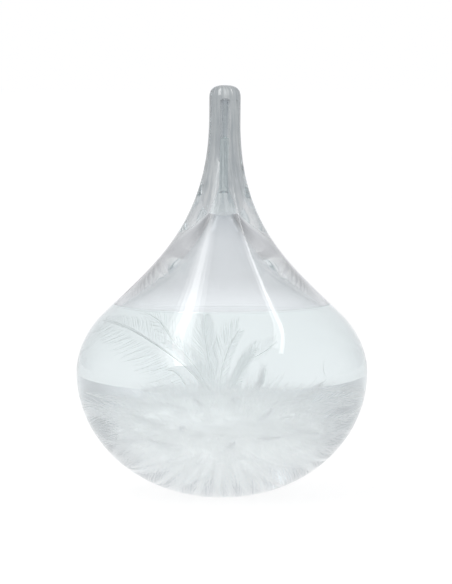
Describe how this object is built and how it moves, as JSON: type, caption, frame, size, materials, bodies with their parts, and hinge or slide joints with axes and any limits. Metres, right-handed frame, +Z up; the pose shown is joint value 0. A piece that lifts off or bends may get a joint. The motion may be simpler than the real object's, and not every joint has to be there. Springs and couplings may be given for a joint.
{
  "type": "storm glass",
  "caption": "Sealed drop-shaped glass with a thick narrow neck, part filled with clear liquid in which white feather-like crystals stand on a soft crystal bed.",
  "frame": {"origin": "centre of the flat ring that the drop rests on", "axes": "+Z up along the drop's axis, towards the sealed tip of the neck; the picture's view is along +Y"},
  "size_m": [0.115, 0.115, 0.1618],
  "materials": {
    "drop_glass": "clear blown borosilicate glass, polished",
    "plug_silicone": "translucent white silicone, satin",
    "seal_silicone": "clear silicone sealant, smooth",
    "storm_liquid": "clear liquid, very faint blue-green tint",
    "crystal": "white camphor crystal, soft feathery, part translucent"
  },
  "bodies": {
    "root": {"glass_drop": "drop_glass", "fill_plug": "plug_silicone", "plug_sealant": "seal_silicone", "storm_liquid": "storm_liquid", "neck_liquid_thread": "storm_liquid", "crystal_bed": "crystal", "fern_left_large": "crystal", "fern_left_needle": "crystal", "fern_left_low": "crystal", "fern_centre_left": "crystal", "fern_centre_tall": "crystal", "fern_centre_right": "crystal", "fern_right_leaning": "crystal", "fern_right_short": "crystal", "fern_back_left": "crystal", "fern_back_right": "crystal"}
  },
  "joints": []
}
